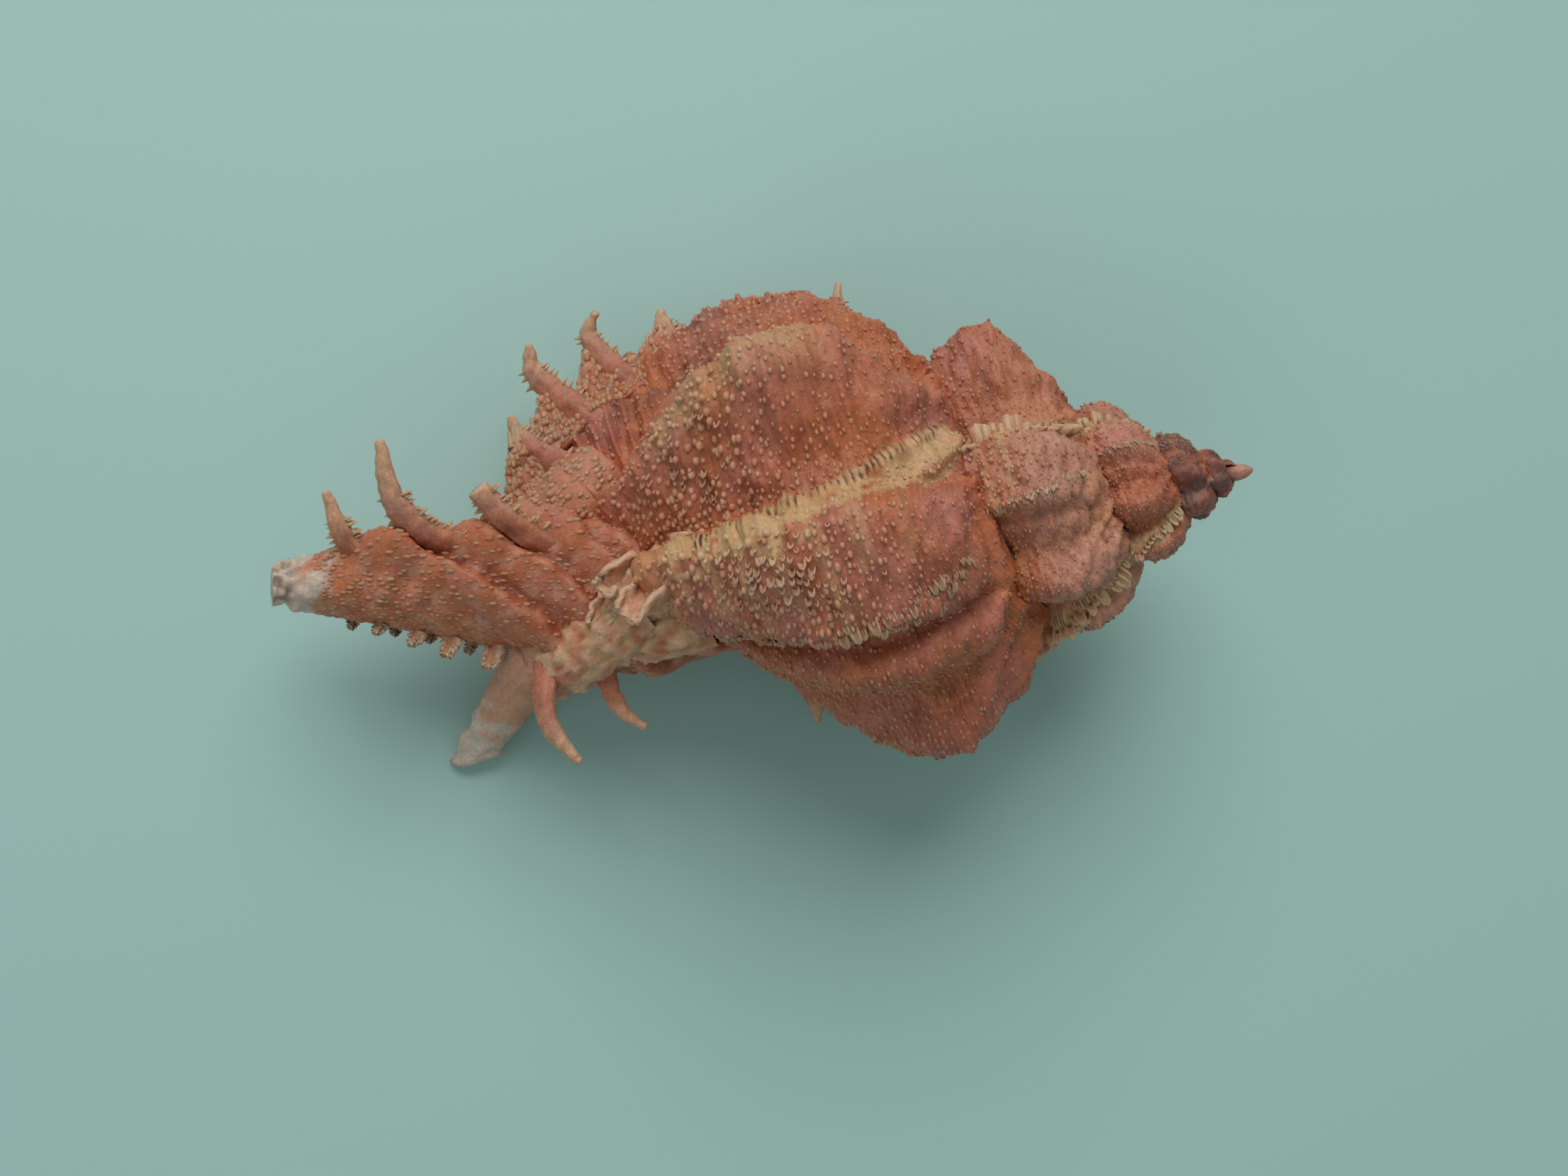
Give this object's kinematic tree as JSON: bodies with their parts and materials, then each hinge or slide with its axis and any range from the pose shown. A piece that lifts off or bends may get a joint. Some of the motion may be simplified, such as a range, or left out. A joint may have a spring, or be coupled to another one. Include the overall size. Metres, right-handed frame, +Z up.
{
  "type": "murex shell",
  "caption": "Empty sea snail shell with a knobbly spire, three rows of spiny ridges, an open mouth and a long recurved canal, lying mouth down.",
  "frame": {"origin": "centre of the footprint, on the surface that the shell lies on", "axes": "+X toward the pointed apex, +Z up as the shell lies on its mouth side, the canal toward -X"},
  "size_m": [0.0596, 0.0318, 0.0257],
  "materials": {
    "shell": "satin, rough with fine scales"
  },
  "bodies": {
    "root": {"shell": "shell"}
  },
  "joints": []
}
